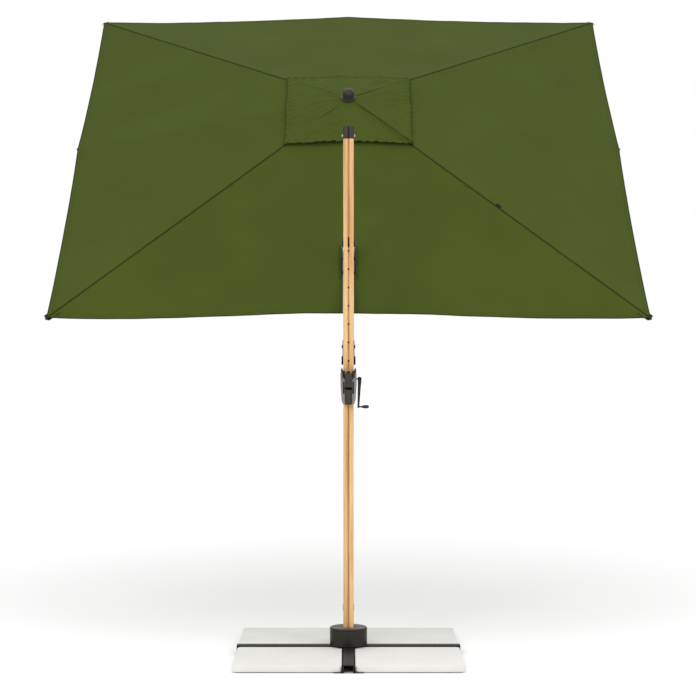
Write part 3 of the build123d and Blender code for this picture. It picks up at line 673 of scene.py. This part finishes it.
def cap_cloth(azimuth, reach, share, hem):
    """Height of the vent cap: slack, with sharp pleats out to its corners, fans of folds and a puckered hem."""
    x, y = side_point(azimuth, reach, share)
    out = reach / VENT_CAP_HALF
    height = VENT_CAP_APEX + (VENT_CAP_FALL + VENT_CAP_CORNER_LEAN * abs(share)) * out
    height += 0.003 * out * share_sag(share)
    across = (1 - abs(share)) * reach
    if share * (1 if azimuth in (-90, 90) else -1) < 0:
        across = -across
    pull = CREASES[x > 0, y > 0]
    valley = 0.013 * math.sin(math.pi * min(1.0, out / 0.64)) ** 2 + 0.0055 * out
    height -= valley * pull * math.exp(-(across / 0.0055) ** 2)
    height += 0.0125 * pull * out ** 0.7 * math.exp(-((across - 0.017) / 0.010) ** 2)
    turn = math.degrees(math.atan2(y, x))
    fan = math.sin(math.radians(turn) * 13 + 1.1 * math.sin(reach * 21))
    fan *= noise.noise(Vector((turn / 31, 0.4, 2.2)))
    height += 0.0064 * fan * math.sin(math.pi * min(1.0, out))
    height += ripple(x, y, 11.0, 0.0058 * out, 1.3) + ripple(x, y, 30.0, 0.0040 * out, 5.9)
    pucker = math.exp(-((hem - reach) / 0.030) ** 2)
    height += 0.0026 * pucker * math.sin(share * 46 + 2.0 * noise.noise(Vector((share * 9, azimuth, 0.0))))
    if hem - reach < HEM_WIDTH * 0.8:
        height += 0.0008
    return height


def patch_cloth(azimuth, reach, share, hem):
    """Height of the vent cap's centre patch, which lies far inside the cap's own hem."""
    return cap_cloth(azimuth, reach, share, VENT_CAP_HALF)


def cloth_grid(sides, inner, outer, height_at, step, near_rise, rib_rise, band=None, lift=0.0):
    """A sheet over one or two sides of the canopy: rows run round the apex and columns run out to the hem.

    With a band, the sheet is only a strip of that width along the hem.
    """
    columns = []
    for azimuth, first, last in sides:
        count = max(2, round(abs(last - first) * outer / step))
        shares = [first + (last - first) * i / count for i in range(count + 1)]
        if columns:
            shares = shares[1:]
        columns += [(azimuth, share) for share in shares]
    rows = 2 if band else max(2, round((outer - inner) / step))
    bm = bmesh.new()
    cut = bm.loops.layers.uv.new("cut")
    plan = {}
    grid = []
    for row in range(rows + 1):
        line = []
        for azimuth, share in columns:
            hem = hem_reach(azimuth, share, outer, near_rise, rib_rise)
            start = hem - band if band else inner
            reach = start + (hem - start) * row / rows
            x, y = side_point(azimuth, reach, share)
            vert = bm.verts.new((x, y, height_at(azimuth, reach, share, hem) + lift))
            plan[vert] = (x, y)
            line.append(vert)
        grid.append(line)
    for row in range(rows):
        for i in range(len(columns) - 1):
            face = bm.faces.new((grid[row][i], grid[row + 1][i], grid[row + 1][i + 1], grid[row][i + 1]))
            for loop in face.loops:
                loop[cut].uv = plan[loop.vert]
    return bm


def cut_boom_slot(bm):
    """Open the near panel where the boom and the strut's bracket come through it."""
    planes = [((SLOT_HALF, 0, 0), (1, 0, 0)), ((-SLOT_HALF, 0, 0), (1, 0, 0)), ((SLIT_HALF, 0, 0), (1, 0, 0)),
              ((-SLIT_HALF, 0, 0), (1, 0, 0)), ((0, -SLOT_NEAR, 0), (0, 1, 0)), ((0, -SLOT_FAR, 0), (0, 1, 0))]
    for place, normal in planes:
        near = [f for f in bm.faces if abs(f.calc_center_median().x) < 0.2 and f.calc_center_median().y < -0.8]
        parts = near + list({e for f in near for e in f.edges}) + list({v for f in near for v in f.verts})
        bmesh.ops.bisect_plane(bm, geom=parts, plane_co=place, plane_no=normal, dist=1e-6)
    gone = []
    for face in bm.faces:
        middle = face.calc_center_median()
        wide = abs(middle.x) < SLOT_HALF and -SLOT_FAR < middle.y < -SLOT_NEAR
        narrow = abs(middle.x) < SLIT_HALF and middle.y < -SLOT_FAR
        if wide or narrow:
            gone.append(face)
    bmesh.ops.delete(bm, geom=gone, context="FACES")


def hang_cloth(name, bm, thickness):
    """Turn a sheet in the canopy's frame into a cloth piece in the row frame."""
    bmesh.ops.recalc_face_normals(bm, faces=bm.faces)
    upwards = sum(face.normal.z for face in bm.faces)
    if upwards < 0:
        bmesh.ops.reverse_faces(bm, faces=bm.faces)
    bmesh.ops.transform(bm, matrix=HEAD, verts=bm.verts)
    obj = mesh_object(name, bm)
    solid = obj.modifiers.new("thickness", "SOLIDIFY")
    solid.thickness = thickness
    solid.offset = 1
    apply_modifiers(obj)
    smooth(obj, 50)
    return obj


def fold_with_rib(obj):
    """Give the cloth piece its own copy of its mesh."""
    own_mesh(obj)


def make_canopy():
    for rib, sides in GORE_SIDES.items():
        bm = cloth_grid(sides, VENT_HOLE_HALF, CANOPY_HALF, main_cloth, 0.0125, NEAR_HEM_RISE, RIB_HEM_RISE)
        if rib.startswith("near"):
            cut_boom_slot(bm)
        gore = hang_cloth(f"canopy_{rib}", bm, CLOTH_THICK)
        finish_piece(gore, FINISHES["canopy_fabric"], f"rib_{rib}", "canopy_fabric", f"gore_{rib}")
        # Painted shade in part: a dark band along the hem, for the shaded hem edge.
        bm = cloth_grid(sides, 0, CANOPY_HALF + 0.0006, main_cloth, 0.0125, NEAR_HEM_RISE, RIB_HEM_RISE,
                        band=0.0055, lift=0.0008)
        binding = hang_cloth(f"hem_binding_painted_shade_{rib}", bm, CLOTH_THICK)
        finish_piece(binding, TAPE_WITH_PAINTED_SHADE, f"rib_{rib}", "canopy_fabric")
        fold_with_rib(binding)
        stitches = stitch_hem(f"hem_stitches_{rib}", sides, CANOPY_HALF, main_cloth, NEAR_HEM_RISE, RIB_HEM_RISE)
        finish_piece(stitches, THREAD, f"rib_{rib}", "canopy_fabric")
        fold_with_rib(stitches)
        fold_with_rib(gore)


def make_vent_cap():
    for rib, sides in GORE_SIDES.items():
        bm = cloth_grid(sides, CENTRE_PATCH, VENT_CAP_HALF, cap_cloth, 0.0042, 0.012, 0.006)
        cap = hang_cloth(f"vent_{rib}", bm, CLOTH_THICK)
        finish_piece(cap, FINISHES["canopy_fabric"], f"rib_{rib}", "canopy_fabric", "vent_cap")
        # Painted shade in part: a dark band along the vent cap's hem, for its shaded edge.
        bm = cloth_grid(sides, 0, VENT_CAP_HALF + 0.0005, cap_cloth, 0.0042, 0.012, 0.006, 0.003, 0.0006)
        binding = hang_cloth(f"vent_binding_painted_shade_{rib}", bm, CLOTH_THICK)
        finish_piece(binding, TAPE_WITH_PAINTED_SHADE, f"rib_{rib}", "canopy_fabric")
        fold_with_rib(binding)
        fold_with_rib(cap)
    sides = [(azimuth, -1.0, 1.0) for azimuth in (-90, 0, 90, 180)]
    bm = cloth_grid(sides, 0.009, CENTRE_PATCH, patch_cloth, 0.0042, 0.0, 0.0)
    bmesh.ops.remove_doubles(bm, verts=bm.verts, dist=1e-5)
    patch = hang_cloth("vent_centre", bm, CLOTH_THICK)
    finish_piece(patch, FINISHES["canopy_fabric"], "boom", "canopy_fabric")


def add_stitch(bm, start, end, up, width=0.0013):
    """One raised stitch between two points: a three-sided bar with closed ends."""
    across = (end - start).cross(up).normalized() * width / 2
    shifts = (across, up * width * 0.45, -across)
    ends = [[bm.verts.new(place + shift) for shift in shifts] for place in (start, end)]
    for i in range(3):
        bm.faces.new((ends[0][i], ends[0][(i + 1) % 3], ends[1][(i + 1) % 3], ends[1][i]))
    bm.faces.new(ends[0][::-1])
    bm.faces.new(ends[1])


def sewn(name, bm):
    bmesh.ops.recalc_face_normals(bm, faces=bm.faces)
    bmesh.ops.transform(bm, matrix=HEAD, verts=bm.verts)
    return mesh_object(name, bm)


def stitch_hem(name, sides, outer, height_at, near_rise, rib_rise, pitch=0.010):
    """A row of stitches along the inner edge of the hem, drawn longer than life so that they show."""
    bm = bmesh.new()
    up = Vector((0, 0, 1))
    for azimuth, first, last in sides:
        count = round(abs(last - first) * outer / pitch)
        for i in range(count):
            ends = []
            for along in (i + 0.15, i + 0.8):
                share = first + (last - first) * along / count
                hem = hem_reach(azimuth, share, outer, near_rise, rib_rise)
                reach = hem - HEM_WIDTH + 0.002
                x, y = side_point(azimuth, reach, share)
                ends.append(Vector((x, y, height_at(azimuth, reach, share, hem) + 1.15 * MM)))
            if abs(ends[0].x) > SLIT_HALF or azimuth != -90:
                add_stitch(bm, ends[0], ends[1], up)
    return sewn(name, bm)


def make_hip_seams():
    """Flat-felled seams over the corner ribs: a narrow doubled strip between two rows of stitches."""
    for rib, sides in GORE_SIDES.items():
        if len(sides) == 1:
            continue
        turn = math.radians(RIB_AZIMUTHS[rib])
        along = Vector((math.cos(turn), math.sin(turn), 0)) * math.sqrt(2)
        across = Vector((-along.y, along.x, 0)).normalized()
        strip = bmesh.new()
        cut = strip.loops.layers.uv.new("cut")
        threads = bmesh.new()
        start, end, step = VENT_HOLE_HALF + 0.005, CANOPY_HALF - 0.006, 0.012

        def place(reach, side, lift):
            point = along * reach + across * side
            outer = max(abs(point.x), abs(point.y))
            inner = min(abs(point.x), abs(point.y)) / outer
            azimuth = 0 if point.y > -1e-9 or abs(point.x) > abs(point.y) else -90
            height = main_cloth(azimuth, outer, inner, CANOPY_HALF)
            return Vector((point.x, point.y, height + lift))

        count = round((end - start) / step)
        rows = []
        for i in range(count + 1):
            reach = start + (end - start) * i / count
            rows.append([strip.verts.new(place(reach, side, lift)) for side, lift in HIP_SECTION])
        for first, second in zip(rows, rows[1:]):
            for j in range(3):
                face = strip.faces.new((first[j], second[j], second[j + 1], first[j + 1]))
                for loop in face.loops:
                    loop[cut].uv = (loop.vert.co.x, loop.vert.co.y)
        for i in range(round((end - start) / 0.010)):
            reach = start + 0.010 * i
            for side in (-0.0027, 0.0027):
                add_stitch(threads, place(reach + 0.0015, side, 0.0032), place(reach + 0.0075, side, 0.0032),
                           Vector((0, 0, 1)))
        seam = hang_cloth(f"hip_seam_{rib}", strip, 0.6 * MM)
        # Painted shade in part: the felled seam in the dark tape colour, for the shade beside the hip.
        finish_piece(seam, TAPE_WITH_PAINTED_SHADE, f"rib_{rib}", "canopy_fabric")
        finish_piece(sewn(f"hip_stitches_{rib}", threads), THREAD, f"rib_{rib}", "canopy_fabric")


def cloth_patch(name, rib, corners, lift, material, droop=0.0):
    """A reinforcement on the near panel, from its plan corners (x0, x1, y0, y1). Its x0 edge droops."""
    x0, x1, y0, y1 = corners
    bm = bmesh.new()
    cut = bm.loops.layers.uv.new("cut")
    columns = max(2, round(abs(x1 - x0) / 0.004))
    rows = max(2, round(abs(y1 - y0) / 0.006))
    grid = []
    for row in range(rows + 1):
        line = []
        for column in range(columns + 1):
            x = x0 + (x1 - x0) * column / columns
            y = y0 + (y1 - y0) * row / rows
            hang = droop * (1 - column / columns) ** 1.5
            line.append(bm.verts.new((x, y, main_cloth(-90, abs(y), x / abs(y), CANOPY_HALF) + lift - hang)))
        grid.append(line)
    for row in range(rows):
        for column in range(columns):
            face = bm.faces.new((grid[row][column], grid[row][column + 1], grid[row + 1][column + 1],
                                 grid[row + 1][column]))
            for loop in face.loops:
                loop[cut].uv = (loop.vert.co.x, loop.vert.co.y)
    obj = hang_cloth(name, bm, CLOTH_THICK)
    return finish_piece(obj, material, f"rib_{rib}", "canopy_fabric")


def make_slot_facing():
    """A facing round the opening that the boom comes through, darker than the cloth as painted shade round the
    bracket, with near-black flaps as painted shade that close it up to the bracket.
    """
    wide_from = 1.107
    for side, rib in ((1, "near_right"), (-1, "near_left")):
        # Painted shade: the flaps are near-black, for the shade seen through the opening.
        spans = [("facing", 0.0345, 0.052, -SLOT_FAR - 0.010, -SLOT_NEAR + 0.010, 0.0012, FACING_PAINTED_SHADE, 0.0),
                 ("flap", 0.0295, 0.0362, -SLOT_FAR + 0.002, -wide_from, -0.0002, DARK_CLOTH_AND_PAINTED_SHADE, 0.008),
                 ("flap_upper", 0.0332, 0.0365, -wide_from, -SLOT_NEAR - 0.002, -0.0002, DARK_CLOTH_AND_PAINTED_SHADE, 0.004),
                 ("facing_top", 0.0008, 0.0345, -SLOT_NEAR - 0.001, -SLOT_NEAR + 0.010, 0.0012, FACING_PAINTED_SHADE, 0.0)]
        for label, inner, outer, far, near, lift, material, droop in spans:
            corners = (side * inner, side * outer, far, near)
            piece = cloth_patch(f"slot_{label}_{rib}", rib, corners, lift, material, droop)
            fold_with_rib(piece)


def make_label_tab():
    """A small blank tab caught in the near right hip seam."""
    turn = math.radians(RIB_AZIMUTHS["near_right"])
    along = Vector((math.cos(turn), math.sin(turn), 0))
    across = Vector((-along.y, along.x, 0))
    middle_reach = 0.772
    base = along * middle_reach * math.sqrt(2)
    bm = bmesh.new()
    grid = []
    for i in range(6):
        line = []
        for j in range(5):
            point = base + along * (i - 2.5) * 0.0062 + across * (j * 0.0042 + 0.001)
            outer = max(abs(point.x), abs(point.y))
            height = main_cloth(0, outer, min(abs(point.x), abs(point.y)) / outer, CANOPY_HALF)
            line.append(bm.verts.new((point.x, point.y, height + 0.0022 + 0.0028 * (j / 4) ** 2)))
        grid.append(line)
    for i in range(5):
        for j in range(4):
            bm.faces.new((grid[i][j], grid[i + 1][j], grid[i + 1][j + 1], grid[i][j + 1]))
    tab = hang_cloth("seam_tab", bm, 0.8 * MM)
    finish_piece(tab, DARK_CLOTH_AND_PAINTED_SHADE, "rib_near_right", "canopy_fabric")


def make_rib_pockets():
    """Under the cloth, a pocket over each rib's tip and two ties round each rib."""
    for rib, azimuth in RIB_AZIMUTHS.items():
        corner = len(GORE_SIDES[rib]) == 2
        stretch = math.sqrt(2) if corner else 1.0
        turn = math.radians(azimuth)
        along = Vector((math.cos(turn), math.sin(turn), 0))
        across = Vector((-along.y, along.x, 0))
        drop = (CORNER_DROP if corner else MIDDLE_DROP) / CANOPY_HALF
        spans = [("tie_inner", 0.62, 0.030, 0.013), ("tie_outer", 1.08, 0.030, 0.013),
                 ("pocket", CANOPY_HALF - 0.036 / stretch, 0.066, 0.024)]
        for label, reach, length, half in spans:
            bm = bmesh.new()
            cut = bm.loops.layers.uv.new("cut")
            grid = []
            for i in range(7):
                line = []
                for j in range(17):
                    share = j / 8 - 1
                    tail = (i - 3) / 6 * length
                    out = reach * stretch + tail
                    point = along * out + across * share * half
                    deep = (0.0245 - (0.0125 * i / 6 if label == "pocket" else 0)) * (1 - abs(share) ** 2.6)
                    height = -drop * out / stretch - 0.0016 - deep
                    line.append(bm.verts.new((point.x, point.y, height)))
                grid.append(line)
            for i in range(6):
                for j in range(16):
                    face = bm.faces.new((grid[i][j], grid[i + 1][j], grid[i + 1][j + 1], grid[i][j + 1]))
                    for loop in face.loops:
                        loop[cut].uv = (loop.vert.co.x, loop.vert.co.y)
            band = hang_cloth(f"{label}_{rib}", bm, 0.9 * MM)
            finish_piece(band, SEAM_TAPE if label == "pocket" else DARK_CLOTH_AND_PAINTED_SHADE, f"rib_{rib}", "canopy_fabric")


def studio_light():
    """A white surround with a soft bright ceiling, and darker walls at the height of the object."""
    world = bpy.data.worlds.new("studio")
    bpy.context.scene.world = world
    world.use_nodes = True
    tree = world.node_tree
    background = tree.nodes["Background"]
    place = add(tree, "ShaderNodeTexCoord").outputs["Generated"]
    height = add(tree, "ShaderNodeSeparateXYZ", {"Vector": place}).outputs["Z"]
    ceiling = add(tree, "ShaderNodeMapRange", {"Value": height, "From Min": 0.05, "From Max": 0.55, "To Min": 0.16,
                                               "To Max": 1.25}).outputs["Result"]
    seen = add(tree, "ShaderNodeLightPath").outputs["Is Camera Ray"]
    strength = add(tree, "ShaderNodeMix", {"Factor": seen, "A": ceiling, "B": 1.0}).outputs["Result"]
    background.inputs["Color"].default_value = (1, 1, 1, 1)
    tree.links.new(strength, background.inputs["Strength"])


def make_stage():
    deselect()
    bpy.ops.mesh.primitive_plane_add(size=80, location=(0, 10, 0))
    floor = bpy.context.object
    floor.name = "studio_floor"
    material, _, shader = new_material("studio_paper")
    shader.inputs["Base Color"].default_value = linear("#FBFBFB")
    shader.inputs["Roughness"].default_value = 0.95
    shader.inputs["Specular IOR Level"].default_value = 0.1
    floor.data.materials.append(material)
    studio_light()
    lights = {"key": ((-3.2, -6.5, 4.5), 1.6, 90.0), "rim": ((4.5, -4.0, 3.0), 1.2, 40.0)}
    for name, (place, size, power) in lights.items():
        deselect()
        bpy.ops.object.light_add(type="AREA", location=place)
        light = bpy.context.object
        light.name = "light_" + name
        light.data.size = size
        light.data.energy = power
        light.rotation_euler = (Vector((0, 0.5, 1.5)) - Vector(place)).to_track_quat("-Z", "Y").to_euler()


def make_camera():
    """A long lens, low and far in front of the mast."""
    deselect()
    bpy.ops.object.camera_add(location=(-0.0024, -9.55, 1.704), rotation=(math.radians(90 - 1.4607), 0, 0))
    camera = bpy.context.object
    camera.data.sensor_width = 36.0
    camera.data.lens = 103.45
    bpy.context.scene.camera = camera
    bpy.context.scene.view_settings.view_transform = "Standard"


for node_name, node_object in frame["nodes"].items():
    node_object.data.materials.clear()
    node_object.data.materials.append(FINISHES[slot_of[node_name]])
deselect()
for node_name, edge in SOFT_EDGES.items():
    softened(node_name, edge)
make_mast()
make_base_cover()
make_housing_shell(1)
make_housing_shell(-1)
make_panel_and_lever()
make_sleeve()
make_crank()
make_canopy()
make_vent_cap()
make_hip_seams()
make_slot_facing()
make_label_tab()
make_rib_pockets()
make_stage()
make_camera()
